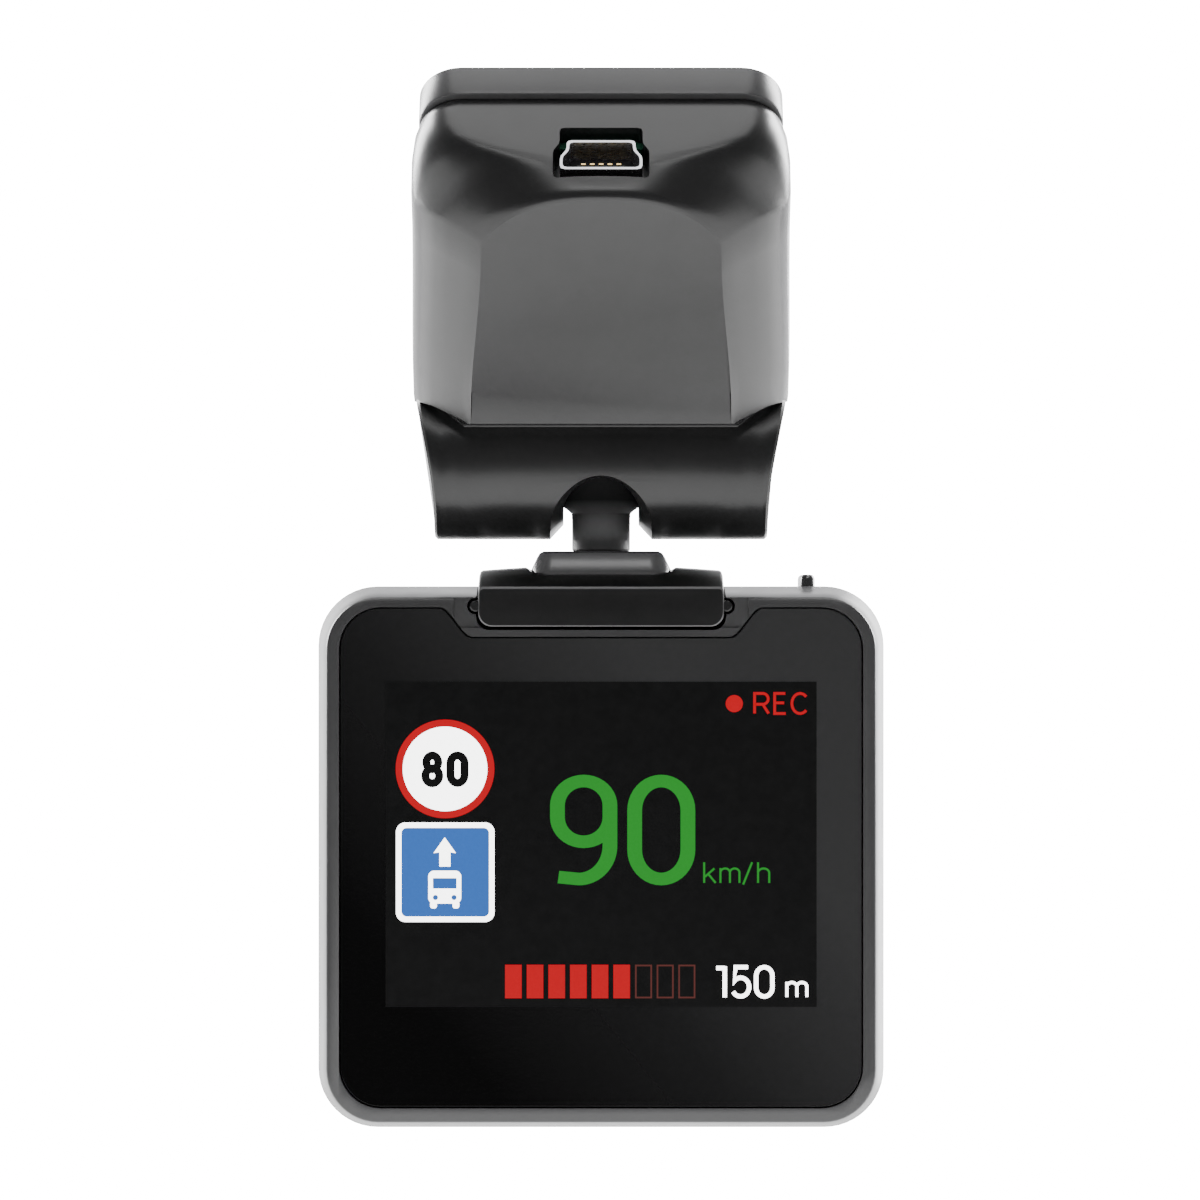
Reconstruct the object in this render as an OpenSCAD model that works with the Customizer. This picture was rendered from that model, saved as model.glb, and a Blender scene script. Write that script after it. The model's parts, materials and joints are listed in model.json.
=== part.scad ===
// Windscreen-mounted radar detector with a built-in dash camera.
// Origin: centre of the adhesive pad's outer face. +Z is up, +X is the driver's right,
// -Y points at the driver and +Y at the road. Millimetres throughout.

/* [Windscreen mount] */
// Slope of the windscreen above the horizontal, in degrees
windscreen_angle = 40; // [36:1:44]
// Width of the adhesive base plate
plate_w = 33.4; // [32:0.2:34]
// Length of the adhesive base plate, up the windscreen
plate_l = 48.2; // [48:0.1:49]
// Corner radius of the base plate
plate_corner_r = 4; // [3:0.5:5]
// Thickness of the foam adhesive pad
pad_t = 0.5; // [0.4:0.1:0.8]
// Thickness of the base plate under the pad
base_t = 3.5; // [3.2:0.1:3.6]
// Depth of the mount housing from the base plate to its flat panel
housing_depth = 11.6; // [11.4:0.1:12]

/* [Ball joint] */
// Radius of the ball
ball_r = 6; // [5.8:0.1:6.1]
// Radius of the barrel that holds the ball
barrel_r = 7.5; // [7.4:0.1:7.8]
// Radius of the stem under the ball
stem_r = 2.8; // [2.6:0.1:2.9]
// Furthest swing of the camera towards the driver, in degrees
swing_to_driver = 38; // [30:1:38]
// Furthest swing of the camera towards the road, in degrees
swing_to_road = 25; // [15:1:25]

/* [Camera body] */
// Width of the camera body
body_w = 54.2; // [52:0.1:55]
// Height of the camera body
body_h = 51.9; // [50.5:0.1:52.5]
// Depth of the camera body without its lens
body_d = 20.7; // [20.5:0.1:22]
// Corner radius of the camera body seen from the front
body_corner_r = 5.6; // [5:0.1:6]
// Wall thickness of the camera body
wall = 1.6; // [1.4:0.1:1.7]
// Width of the lit area of the display
screen_w = 40.8; // [40:0.1:41]
// Height of the lit area of the display
screen_h = 30.8; // [30:0.1:31]
// How far the lens stands out of the body
lens_reach = 13; // [11:0.5:14]

/* [Holder clip] */
// Width of the clip that slides into the top of the camera
clip_w = 23.3; // [23:0.1:23.5]
// Depth of the clip from front to back
clip_d = 17.4; // [16:0.1:17.6]

/* [Hidden] */
$fn = 64;
hull_fn = 32;
eps = 0.02;

// Mount frame: x across, y up the windscreen, z from the pad's outer face into the cabin.
seam = pad_t + base_t;
panel_z = seam + housing_depth;
top_y = plate_l / 2;
ball_z = seam + barrel_r;
ball_y = -top_y + barrel_r;
block_end = ball_y + 9.4;
skin = 1.5;
cup_t = 0.6;
fit = 0.05;
slot_half = 3.7;
seat_limit = 2.4;
usb_z = 10.7;
usb_front = top_y - 0.5;
board_z = 7.7;
board_t = 1;
mount_bosses = [[-13.2, 18.6], [13.2, 18.6], [-13.6, -4], [13.6, -4]];
retainer_x = 10.6;

// Row frame.
ball_centre = [
    0,
    -ball_y * cos(windscreen_angle) - ball_z * sin(windscreen_angle),
    ball_y * sin(windscreen_angle) - ball_z * cos(windscreen_angle)
];

// Ball frame: the row's directions, measured from the ball's centre.
foot_top = -9.05;
foot_bottom = -12.4;
foot_half = 6.2;
clip_top = -10.3;
clip_front_top = -12.15;
clip_bottom = -16.25;
clip_front = -9.4;
clip_corner_r = 1.2;
rail_r = 0.52;
rail_x = clip_w / 2 + 0.25;
rail_z = -14.3;
slot_floor = -16.54;
slot_side = clip_w / 2 + 0.15;
slot_back = clip_front + clip_d + 0.3;
groove_r = 0.8;
body_top = -12.4;
body_mid = body_top - body_h / 2;
front_y = -9.2;
glass_y = -9;
glass_t = 1;
seam_y = -3;
back_y = front_y + body_d;
glass_w = 49.5;
glass_top = -14.45;
glass_bottom = body_top - body_h + 2.52;
glass_r = 3.9;
notch_floor = -17.25;
notch_out = 15.3;
notch_in = 12.2;
screen_mid = -36.85;
main_y = -3.6;
main_t = 1;
button_y = -1.2;
power_x = 19.87;
power_y = 1.6;
power_top = -11.26;
lens_z = -37;
lens_r = 11;
lens_front = back_y + lens_reach;
board_posts = [[-20, -22.6], [20, -24.6], [-5.6, -55.4], [20.4, -54.6]];
case_bosses = [for (x = [-1, 1], z = [-17.6, -59.6]) [22.6 * x, z]];
side_buttons = [-28, -37, -46];
side_button_l = 6.4;
contact_xs = [-3.75, -1.25, 1.25, 3.75];
contact_y = 3.9;
card_z = -38;
card_y = -1.8;

charcoal = [0.16, 0.16, 0.17];
graphite = [0.27, 0.27, 0.28];
black = [0.05, 0.05, 0.055];
steel = [0.75, 0.76, 0.78];
gold = [0.85, 0.68, 0.32];
board_green = [0.05, 0.25, 0.14];

// ---- frames and outlines ----

module in_mount() rotate([180 - windscreen_angle, 0, 0]) children();

module at_ball() translate(ball_centre) children();

// A flat shape in x and z, filled from y = from to y = to.
module slab(from, to) translate([0, to, 0]) rotate([90, 0, 0]) linear_extrude(to - from) children();

// A flat shape in x and y, filled from z = from to z = to.
module layer(from, to) translate([0, 0, from]) linear_extrude(to - from) children();

module rounded_rect(w, h, r) {
    square([w - 2 * r, h], center = true);
    square([w, h - 2 * r], center = true);
    for (x = [-1, 1], y = [-1, 1]) translate([x * (w / 2 - r), y * (h / 2 - r)]) circle(r);
}

module screw(x, y, head_r, head_h, shank_r, shank_l) translate([x, y, 0]) difference() {
    union() {
        cylinder(h = head_h, r = head_r);
        cylinder(h = head_h + shank_l, r = shank_r);
    }
    for (a = [0, 90]) rotate(a) translate([-head_r * 0.6, -0.15, -eps])
        cube([head_r * 1.2, 0.3, head_h * 0.6]);
}

// ---- windscreen mount ----

module adhesive_pad() color("dimgray") in_mount()
    layer(0, pad_t) rounded_rect(plate_w - 3.6, plate_l - 3.6, plate_corner_r - 1);

module mount_base() color(graphite) in_mount() difference() {
    layer(pad_t, seam) rounded_rect(plate_w, plate_l, plate_corner_r);
    layer(seam - 0.8, seam + eps) rounded_rect(plate_w - 7, plate_l - 7, 2);
    for (b = mount_bosses) translate([b.x, b.y, 0]) {
        translate([0, 0, pad_t - eps]) cylinder(h = 1.3, r = 1.95);
        cylinder(h = seam + 1, r = 1.1);
    }
}

// The housing's outline at one depth: mid is the top edge at its middle, shoulder is where the top
// edge meets the sides, and low is its lower edge.
function level_outline(half_top, half_low, mid, shoulder, low) = concat(
    [for (a = [0 : 15 : 180]) [half_top * cos(a), shoulder + (mid - shoulder) * sin(a)]],
    [[-half_low, low + 6], [-half_low, low], [half_low, low], [half_low, low + 6]]
);

module level(z, half_top, half_low, mid, shoulder, low, r = 0) translate([0, 0, z]) linear_extrude(eps)
    if (r > 0) {
        for (x = [-1, 1]) translate([x * (half_top - r), mid - r]) circle(r, $fn = hull_fn);
        polygon([[-half_low, low + 6], [-half_low, low], [half_low, low], [half_low, low + 6]]);
    } else polygon(level_outline(half_top, half_low, mid, shoulder, low));

module block_outside() hull() {
    level(seam, plate_w / 2, plate_w / 2, top_y, 10, block_end - 3.7, plate_corner_r);
    level(seam + 3.6, 17.3, 17.9, top_y, 10, block_end - 3.7, 4.6);
    level(seam + 6, 17, 17.8, top_y - 0.1, 16.6, block_end - 3.2);
    level(seam + 9.2, 14.4, 15.3, top_y - 0.4, 17.5, block_end - 1.2);
    level(panel_z - 0.4, 11.5, 12.8, top_y - 0.9, 17.6, block_end - 0.2);
    level(panel_z - eps, 11, 12.3, top_y - 1.15, 17.5, block_end + 1.6);
}

module block_inside() hull() {
    level(seam - 0.1, plate_w / 2 - skin, plate_w / 2 - skin, top_y - skin, 10, block_end + skin, 3);
    level(seam + 5.4, 15.4, 16, top_y - skin, 10, block_end + skin, 4);
    level(panel_z - skin, 9, 10.4, top_y - 4.2, 16.4, block_end + skin);
}

// Sides that narrow towards the barrel's end, seen square to the windscreen.
side_right = [
    [16, -top_y], [16, ball_y + 1], [17.3, block_end - 3.7], [17.9, block_end + 1], [20, block_end + 4],
    [20, top_y + 1]
];

module side_plan() for (m = [0, 1]) mirror([m, 0])
    polygon(concat([[-eps, -top_y]], side_right, [[-eps, top_y + 1]]));

// A section seen along x, in distances from the ball's centre, filled across a width.
module across(w, outline) translate([-w / 2, ball_y, ball_z]) rotate([90, 0, 90])
    linear_extrude(w) polygon(outline);

module barrel_outside() {
    intersection() {
        union() {
            translate([-20, ball_y, ball_z]) rotate([0, 90, 0]) cylinder(h = 40, r = barrel_r, $fn = 96);
            across(40, [[0, 0], [0, -barrel_r], [10.5, -barrel_r], [10, -3], [7.3, -1.5]]);
        }
        layer(seam, panel_z + 8) side_plan();
    }
    across(24.4, [[1, 0], [11.4, 0], [11.4, 3.4], [9.2, 3.55], [8.2, 2.8], [7.55, 2.45], [7.15, 2.45], [6.95, 2.7], [5, 4]]);
}

// The groove that lets the stem swing from the driver's side to the road side.
module stem_slot() translate([0, ball_y, ball_z]) {
    from = windscreen_angle - swing_to_driver;
    to = windscreen_angle + swing_to_road + 36;
    side = slot_half - 0.06;
    rotate([from, 0, 0]) {
        cylinder(h = barrel_r + 3, r = slot_half);
        translate([0, 0, 4.6]) cylinder(h = 4, r1 = slot_half, r2 = slot_half + 4.2);
    }
    rotate([0, 90, 0]) rotate([0, 0, 180 + from]) rotate_extrude(angle = to - from, $fn = 96)
        polygon([[1, -side], [1, side], [barrel_r - 1.05, side], [barrel_r + 1, side + 2.3],
                 [barrel_r + 1, -side - 2.3], [barrel_r - 1.05, -side]]);
}

function usb_outline(grow_x, grow_h) = [
    [-3.85 - grow_x, 1.95 + grow_h], [3.85 + grow_x, 1.95 + grow_h], [3.85 + grow_x, 0.1 - grow_h * 0.3],
    [3.25 + grow_x, -0.6 - grow_h * 0.3], [3.25 + grow_x, -1.95 - grow_h],
    [-3.25 - grow_x, -1.95 - grow_h], [-3.25 - grow_x, -0.6 - grow_h * 0.3],
    [-3.85 - grow_x, 0.1 - grow_h * 0.3]
];

module usb_prism(from, to, grow_x, grow_h) translate([0, 0, usb_z])
    slab(from, to) polygon(usb_outline(grow_x, grow_h));

module mount_housing() color(graphite) in_mount() difference() {
    union() {
        difference() {
            intersection() {
                block_outside();
                layer(seam, panel_z + 1) side_plan();
            }
            block_inside();
        }
        for (b = mount_bosses) translate([b.x, b.y, seam]) cylinder(h = 7.5, r = 2);
        barrel_outside();
    }
    for (b = mount_bosses) translate([b.x, b.y, seam - 1]) cylinder(h = 7, r = 0.75);
    usb_prism(top_y - 5, top_y + 1, 0.65, 0.9);
    stem_slot();
    translate([0, ball_y, ball_z]) {
        sphere(ball_r + fit);
        intersection() {
            sphere(ball_r + cup_t + 2 * fit);
            translate([-10, -10, -10]) cube([20, 20, 10 + seat_limit]);
        }
        translate([0, 0, -barrel_r - 1]) cylinder(h = barrel_r + 1, r = ball_r + cup_t + 2 * fit);
        translate([-13.6, -4.6, -barrel_r - 1]) cube([27.2, 9.2, 2.5]);
        for (x = [-1, 1]) translate([x * retainer_x, 0, -barrel_r]) cylinder(h = 7, r = 0.75);
    }
    translate([-4, ball_y + 2, seam - 1]) cube([8, 10, 7.4]);
}

module mount_circuit_board() color(board_green) in_mount() difference() {
    layer(board_z, board_z + board_t) translate([0, 8.6]) square([22, 27.4], center = true);
    for (x = [-9.6, 9.6], y = [-3.6, 20.8]) translate([x, y, board_z - 1]) cylinder(h = 3, r = 0.7);
}

module gps_antenna() color("tan") in_mount() union() {
    layer(seam + 0.5, board_z - eps) translate([0, 8]) rounded_rect(18, 18, 0.6);
    layer(seam + 0.45, seam + 0.5) translate([0, 8]) square([14, 14], center = true);
}

module gps_receiver_can() color(steel) in_mount()
    layer(board_z + board_t, board_z + board_t + 1.8) translate([0, 5]) rounded_rect(12, 10, 0.5);

module usb_socket_shell() color(steel) in_mount() difference() {
    usb_prism(usb_front - 9, usb_front, 0, 0);
    usb_prism(usb_front - 8.6, usb_front + 1, -0.3, -0.3);
}

module usb_socket_tongue() color(black) in_mount() union() {
    translate([-2.2, usb_front - 8.5, usb_z + 0.2]) cube([4.4, 7.3, 0.7]);
    translate([-2.8, usb_front - 8.5, usb_z - 1.5]) cube([5.6, 2.4, 3]);
}

module usb_socket_contacts() color(gold) in_mount() for (i = [-2 : 2])
    translate([i * 0.8 - 0.2, usb_front - 6, usb_z + 0.02]) cube([0.4, 4.9, 0.16]);

module ball_retainer() color(black) in_mount() translate([0, ball_y, ball_z]) difference() {
    union() {
        translate([-13.4, -4.4, -barrel_r + 0.05]) cube([26.8, 8.8, 1.4]);
        translate([0, 0, -barrel_r + 0.05]) cylinder(h = 3.6, r = ball_r + cup_t - 0.1);
    }
    sphere(ball_r + cup_t + 2 * fit);
    translate([-3, 0, -barrel_r - 1]) cube([6, 12, 9]);
    for (x = [-1, 1]) translate([x * retainer_x, 0, -barrel_r - 1]) cylinder(h = 6, r = 1);
}

module retainer_screws() color(steel) in_mount() translate([0, ball_y, seam - 0.75])
    for (x = [-1, 1]) screw(x * retainer_x, 0, 1.6, 0.75, 0.74, 4.6);

module mount_screws() color(steel) in_mount() translate([0, 0, pad_t + 0.1])
    for (b = mount_bosses) screw(b.x, b.y, 1.85, 0.9, 0.74, 5.4);

// Flat lead from the mount's board to the hollow ball.
lead_path = [[-4, 8.75], [-5.6, 8.75], [-9.4, 7], [-10.8, 6.1], [-11, 6.4], [-9.5, 7.4], [-5.7, 9.15], [-4, 9.15]];

module mount_lead() color("darkred") in_mount() rotate([90, 0, 90])
    translate([0, 0, -1.2]) linear_extrude(2.4) polygon(lead_path);

// ---- ball joint ----

module friction_cup() color("ivory") at_ball() difference() {
    sphere(ball_r + cup_t + fit);
    sphere(ball_r + fit);
    translate([-10, -10, -20 + (ball_r + cup_t) * cos(45)]) cube([20, 20, 20]);
    cylinder(h = 10, r = 2.2);
}

module ball_stem() color(charcoal) at_ball() difference() {
    union() {
        sphere(ball_r);
        translate([0, 0, foot_top + 0.05]) cylinder(h = -foot_top, r = stem_r);
        translate([0, 0, -6.4]) cylinder(h = 1.6, r1 = stem_r, r2 = 3.2);
        translate([0, 0, foot_bottom - 1.1]) cylinder(h = 8, r = 2);
    }
    translate([0, 0, -20]) cylinder(h = 40, r = 1.1);
}

module stem_lead() color("darkred") at_ball() for (a = [0, 120, 240]) rotate(a)
    translate([0.5, 0, -14.2]) cylinder(h = 19.8, r = 0.4, $fn = 24);

module swivel_foot() color("gray") at_ball() difference() {
    hull() {
        translate([0, 0, foot_top - 0.3]) layer(0, 0.3 - eps)
            square([2 * foot_half - 2.6, 2 * foot_half - 2.6], center = true);
        translate([0, 0, foot_top - 0.35]) layer(0, eps)
            rounded_rect(2 * foot_half - 1.2, 2 * foot_half - 1.2, 1.6, $fn = hull_fn);
        layer(foot_bottom, foot_bottom + 1) rounded_rect(2 * foot_half, 2 * foot_half, 1.8, $fn = hull_fn);
    }
    translate([0, 0, foot_bottom - 1]) cylinder(h = 6, r = 2 + fit);
    for (x = [-4.3, 4.3]) translate([x, 0, foot_bottom - 1]) cylinder(h = 3, r = 0.75);
}

module stem_nut() color(steel) at_ball() difference() {
    translate([0, 0, foot_bottom - 1.05]) cylinder(h = 1, r = 3.3, $fn = 6);
    translate([0, 0, foot_bottom - 2]) cylinder(h = 4, r = 2);
}

// ---- holder clip ----

module clip_section() {
    r = clip_corner_r;
    half = clip_w / 2;
    translate([-half, clip_bottom + r]) square([clip_w, clip_top - clip_bottom]);
    translate([-half + r, clip_bottom]) square([clip_w - 2 * r, 3]);
    for (x = [-1, 1]) {
        translate([x * (half - r), clip_bottom + r]) circle(r);
        translate([x * rail_x, rail_z]) circle(rail_r);
    }
}

module holder_clip() color(charcoal) at_ball() difference() {
    intersection() {
        slab(clip_front, clip_front + clip_d) clip_section();
        translate([-20, 0, 0]) rotate([90, 0, 90]) linear_extrude(40) polygon([
            [-10, -20], [-10, clip_front_top], [clip_front, clip_front_top], [clip_front + 4.6, clip_top],
            [clip_front + clip_d - 3, clip_top], [clip_front + clip_d, clip_front_top],
            [12, clip_front_top], [12, -20]
        ]);
        translate([0, 20, clip_top - 40.05]) rotate([90, 0, 0]) cylinder(h = 40, r = 40, $fn = 128);
    }
    layer(foot_bottom, 0) rounded_rect(2 * foot_half + 0.2, 2 * foot_half + 0.2, 1.9);
    translate([0, 0, foot_bottom - 1.4]) cylinder(h = 3, r = 3.6);
    for (x = [-4.3, 4.3]) translate([x, 0, clip_bottom - 1]) {
        cylinder(h = 6, r = 0.85);
        cylinder(h = 2.6, r = 1.7);
    }
    translate([-5.6, contact_y - 2.1, clip_bottom - 1]) cube([11.2, 4.2, 3.5]);
    translate([0, 0, -20]) cylinder(h = 10, r = 1.4);
    translate([-1.4, 0, clip_bottom + 1]) cube([2.8, contact_y, 1.5]);
}

module clip_screws() color(steel) at_ball() translate([0, 0, clip_bottom + 0.6])
    for (x = [-4.3, 4.3]) screw(x, 0, 1.55, 0.9, 0.74, 3.9);

module contact_block() color(black) at_ball() difference() {
    translate([-5.5, contact_y - 2, clip_bottom + 0.05]) cube([11, 4, 2.4]);
    for (x = contact_xs) translate([x, contact_y, clip_bottom - 1]) cylinder(h = 3, r = 0.6);
}

module contact_pins() color(gold) at_ball() for (x = contact_xs) translate([x, contact_y, slot_floor + 0.02]) {
    translate([0, 0, 0.4]) sphere(0.4);
    translate([0, 0, 0.4]) cylinder(h = 1.2, r = 0.4);
    translate([0, 0, 1]) cylinder(h = 0.4, r = 0.55);
}

// ---- camera body ----

// Step from 0 to 1 with flat ends, for the S-shaped shoulders of the glass.
function smooth(t) = t * t * (3 - 2 * t);

function notch_points(top, floor, out, in) = concat(
    [for (i = [0 : 10]) [-out + (out - in) * i / 10, top + (floor - top) * smooth(i / 10)]],
    [for (i = [0 : 10]) [in + (out - in) * i / 10, floor + (top - floor) * smooth(i / 10)]],
    [[out, top + 6], [-out, top + 6]]
);

module glass_outline(grow) difference() {
    translate([0, (glass_top + glass_bottom) / 2])
        rounded_rect(glass_w + 2 * grow, glass_top - glass_bottom + 2 * grow, glass_r + grow);
    polygon(notch_points(glass_top + 0.01, notch_floor + grow, notch_out - grow, notch_in - grow));
}

module body_rect(inset) translate([0, body_mid])
    rounded_rect(body_w - 2 * inset, body_h - 2 * inset, body_corner_r - inset, $fn = hull_fn);

module clip_slot(from, to) slab(from, to) {
    translate([-slot_side, slot_floor]) square([2 * slot_side, 8]);
    for (x = [-1, 1]) translate([x * rail_x, rail_z]) circle(groove_r);
}

module screen_bezel() color(graphite) at_ball() difference() {
    union() {
        difference() {
            hull() {
                slab(front_y + 0.9, seam_y) body_rect(0);
                slab(front_y + 0.3, front_y + 0.35) body_rect(0.3);
                slab(front_y, front_y + eps) body_rect(0.9);
            }
            slab(front_y - 1, glass_y + glass_t) glass_outline(0.08);
            slab(glass_y + glass_t + 0.9, seam_y + 1) intersection() {
                body_rect(wall);
                translate([-30, -80]) square([60, 80 + notch_floor - 0.1]);
            }
            slab(glass_y, seam_y) translate([0, screen_mid - 0.6]) square([44, 34], center = true);
        }
        for (b = case_bosses) translate([b.x, seam_y, b.y]) rotate([90, 0, 0]) cylinder(h = 5, r = 2.1);
        slab(-8, seam_y) translate([-14.4, slot_floor - 1.2]) square([28.8, 3.4]);
    }
    for (b = case_bosses) translate([b.x, seam_y + 1, b.y]) rotate([90, 0, 0]) cylinder(h = 5, r = 0.75);
    clip_slot(front_y - 1, seam_y + 1);
    slab(front_y - 1, front_y + 0.3) translate([0, -14.9]) square([27.8, 2.9], center = true);
}

module cover_glass() color([0.02, 0.02, 0.025]) at_ball()
    slab(glass_y, glass_y + glass_t) glass_outline(0);

module display_panel() color([0.1, 0.1, 0.12]) at_ball()
    slab(glass_y + glass_t + 0.05, glass_y + glass_t + 1.5)
        translate([0, screen_mid - 0.6]) square([43.6, 33], center = true);

module display_frame() color("silver") at_ball() slab(-6.4, -5.4) difference() {
    translate([0, screen_mid - 0.6]) square([43.6, 33], center = true);
    translate([0, screen_mid]) square([34, 22], center = true);
}

module display_ribbon() color("orange") at_ball() union() {
    translate([-8, -7, -57.2]) cube([16, 0.15, 3.2]);
    translate([-8, -7, -57.2]) cube([16, 3.35, 0.15]);
    translate([-8, -3.8, -57.2]) cube([16, 0.15, 5]);
}

module main_board() color(board_green) at_ball() difference() {
    slab(main_y, main_y + main_t) translate([0, -38.6]) rounded_rect(43.6, 37.4, 1.5);
    for (p = board_posts) translate([p.x, main_y - 1, p.y]) rotate([-90, 0, 0]) cylinder(h = 3, r = 0.85);
}

module processor_shield() color(steel) at_ball()
    slab(main_y - 1.4, main_y) translate([0, -33]) rounded_rect(17, 15, 0.6);

module board_chips() color("black") at_ball() {
    for (c = [[-14, -27, 5, 4], [-14, -34, 4, 6], [14, -27, 5, 5], [13, -47, 6, 4], [-12, -46, 8, 5]])
        translate([c[0] - c[2] / 2, main_y - 1.05, c[1] - c[3] / 2]) cube([c[2], 1.05, c[3]]);
    for (i = [0 : 5]) translate([-7 + 2.6 * i, main_y - 0.6, -44.6]) cube([1.2, 0.6, 0.7]);
}

module lens_case() color(graphite) at_ball() difference() {
    union() {
        difference() {
            hull() {
                slab(seam_y, back_y - 2.2) body_rect(0);
                slab(back_y - 1.2, back_y - 1.1) body_rect(0.5);
                slab(back_y - eps, back_y) body_rect(2);
            }
            slab(seam_y - 1, back_y - wall) body_rect(wall);
        }
        for (b = case_bosses) translate([b.x, seam_y, b.y]) rotate([-90, 0, 0])
            cylinder(h = back_y - seam_y - 0.6, r = 2.2);
        for (p = board_posts) translate([p.x, main_y + main_t + 0.05, p.y]) rotate([-90, 0, 0]) {
            cylinder(h = back_y - main_y - main_t - 0.6, r = 1.3);
            translate([0, 0, -0.75]) cylinder(h = 2, r = 0.8);
        }
        slab(seam_y, slot_back + 1.4) translate([-14.4, slot_floor - 1.2]) square([28.8, 5.2]);
        translate([0, back_y - eps, lens_z]) rotate([-90, 0, 0]) cylinder(h = 1.5, r = lens_r + 2.4);
    }
    clip_slot(seam_y - 1, slot_back);
    for (b = case_bosses) translate([b.x, 0, b.y]) rotate([-90, 0, 0]) {
        translate([0, 0, seam_y - 1]) cylinder(h = body_d, r = 0.85);
        translate([0, 0, back_y - 3.4]) cylinder(h = 4, r = 1.8);
    }
    translate([0, 0, lens_z]) rotate([-90, 0, 0]) cylinder(h = back_y + 8, r = lens_r - 1);
    translate([power_x - 0.85, power_y - 3.7, body_top - 3]) cube([1.7, 7.4, 6]);
    for (z = side_buttons) translate([-body_w / 2 - 1, button_y - 1.15, z - side_button_l / 2 - 0.15])
        cube([4, 2.3, side_button_l + 0.3]);
    translate([body_w / 2 - 4, card_y - 0.7, card_z - 5.8]) cube([6, 1.4, 11.6]);
    translate([body_w / 2 + 1, button_y, -51]) rotate([0, -90, 0]) cylinder(h = 5, r = 0.55);
    for (x = contact_xs) translate([x - 0.9, contact_y - 1.8, slot_floor - 0.6]) cube([1.8, 3.6, 1]);
    for (i = [-3 : 3]) translate([13 - 4.2, back_y - 4, -55.6 + i * 1.3]) cube([8.4, 6, 0.6]);
    for (i = [-4 : 4]) translate([i * 3 - 0.5, 2, -70]) cube([1, 5, 8.5]);
    translate([-body_w / 2 - 1, 5.2, -54]) rotate([0, 90, 0]) cylinder(h = 5, r = 0.5);
}

module lens_barrel() color(black) at_ball() translate([0, back_y, lens_z]) rotate([-90, 0, 0])
    rotate_extrude($fn = 96) polygon([
        [lens_r - 1.1, -1], [lens_r - 1.1, 1.55], [lens_r + 1.4, 1.55], [lens_r + 1.4, 4.2], [lens_r + 0.7, 5],
        [lens_r + 0.7, 6], [lens_r, 6.8], [lens_r, lens_reach - 0.8], [lens_r - 0.8, lens_reach],
        [lens_r - 2, lens_reach], [lens_r - 2.6, lens_reach - 1], [7.6, 9.2], [7.6, 8.2], [9.3, 8.2], [9.3, -1]
    ]);

module lens_glass() color([0.1, 0.12, 0.2, 0.6]) at_ball() translate([0, back_y, lens_z])
    rotate([-90, 0, 0]) rotate_extrude($fn = 96) polygon(concat(
        [[0, 6.6]], [[7.5, 6.6]], [for (i = [0 : 8]) [7.5 * (1 - i / 8), 6.9 + 1.2 * sin(90 * i / 8)]]
    ));

module lens_module() color("black") at_ball() translate([0, 0, lens_z]) union() {
    difference() {
        translate([-7.5, 1.4, -7.5]) cube([15, 6, 15]);
        rotate([-90, 0, 0]) cylinder(h = 9, r = 5.2);
    }
    rotate([-90, 0, 0]) rotate_extrude() polygon([
        [0, 4], [5.15, 4], [5.15, 7.4], [6.2, 7.4], [6.2, 14], [7.4, 14.6], [7.4, 17.8], [0, 17.8]
    ]);
}

module sensor_board() color(board_green) at_ball() slab(0.4, 1.4)
    translate([0, lens_z]) rounded_rect(15.6, 17, 0.8);

module image_sensor() color([0.2, 0.3, 0.3]) at_ball() slab(1.4, 2.3)
    translate([0, lens_z]) square([8, 6.5], center = true);

module battery() color("royalblue") at_ball() translate([-14.4, 0, -49.4]) slab(-2.4, 2.4)
    rounded_rect(12.4, 14.4, 0.8);

module speaker() color("dimgray") at_ball() translate([13, 0, -54.2]) union() {
    slab(4.4, 9.2) rounded_rect(10.8, 12.4, 1);
    slab(3.2, 4.4) square([7, 8], center = true);
}

module speaker_mesh() color("black") at_ball()
    translate([13, 0, -54.6]) slab(9.25, 9.55) rounded_rect(11, 11.4, 1);

module microphone() color("gold") at_ball() translate([-23.4, 5.2, -54]) rotate([0, 90, 0])
    cylinder(h = 1.4, r = 2);

module card_socket() color(steel) at_ball() difference() {
    translate([10, main_y + main_t, card_z - 7]) cube([12.2, 1.9, 14]);
    translate([10.6, card_y - 0.6, card_z - 5.65]) cube([20, 1.2, 11.3]);
}

module button_switches() color(steel) at_ball() {
    for (z = side_buttons) translate([-body_w / 2 + 3.3, main_y + main_t, z - 1.9]) cube([2.2, 2, 3.8]);
    translate([power_x - 3.3, main_y + main_t, -20.6]) cube([3.4, 2, 2.2]);
}

module camera_contacts() color(gold) at_ball() for (x = contact_xs)
    translate([x - 0.8, contact_y - 1.7, slot_floor - 0.55]) cube([1.6, 3.4, 0.52]);

module case_screws() color(steel) at_ball() for (b = case_bosses)
    translate([b.x, back_y - 2.2, b.y]) rotate([90, 0, 0]) screw(0, 0, 1.7, 1, 0.74, 13);

module memory_card() color("black") at_ball() translate([body_w / 2 - 15.1, card_y - 0.5, card_z - 5.5])
    rotate([90, 0, 0]) translate([0, 0, -1]) linear_extrude(1) polygon([
        [0, 0.4], [0.4, 0], [14.9, 0], [15, 0.1], [15, 10.9], [14.9, 11],
        [6.6, 11], [5.6, 10], [0.4, 10], [0, 9.6]
    ]);

module power_button() color(charcoal) at_ball() translate([power_x, power_y, 0]) {
    rotate([0, 0, 90]) {
        layer(body_top - 2.2, power_top - 0.3) key_outline(7.1, 1.4);
        layer(power_top - 0.3, power_top) key_outline(6.7, 1);
        layer(body_top - wall - 1.2, body_top - wall - 0.3) square([8.4, 1.7], center = true);
    }
    translate([-1.1, -3.5, -17.95]) cube([1.3, 1.2, 3.85]);
}

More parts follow.
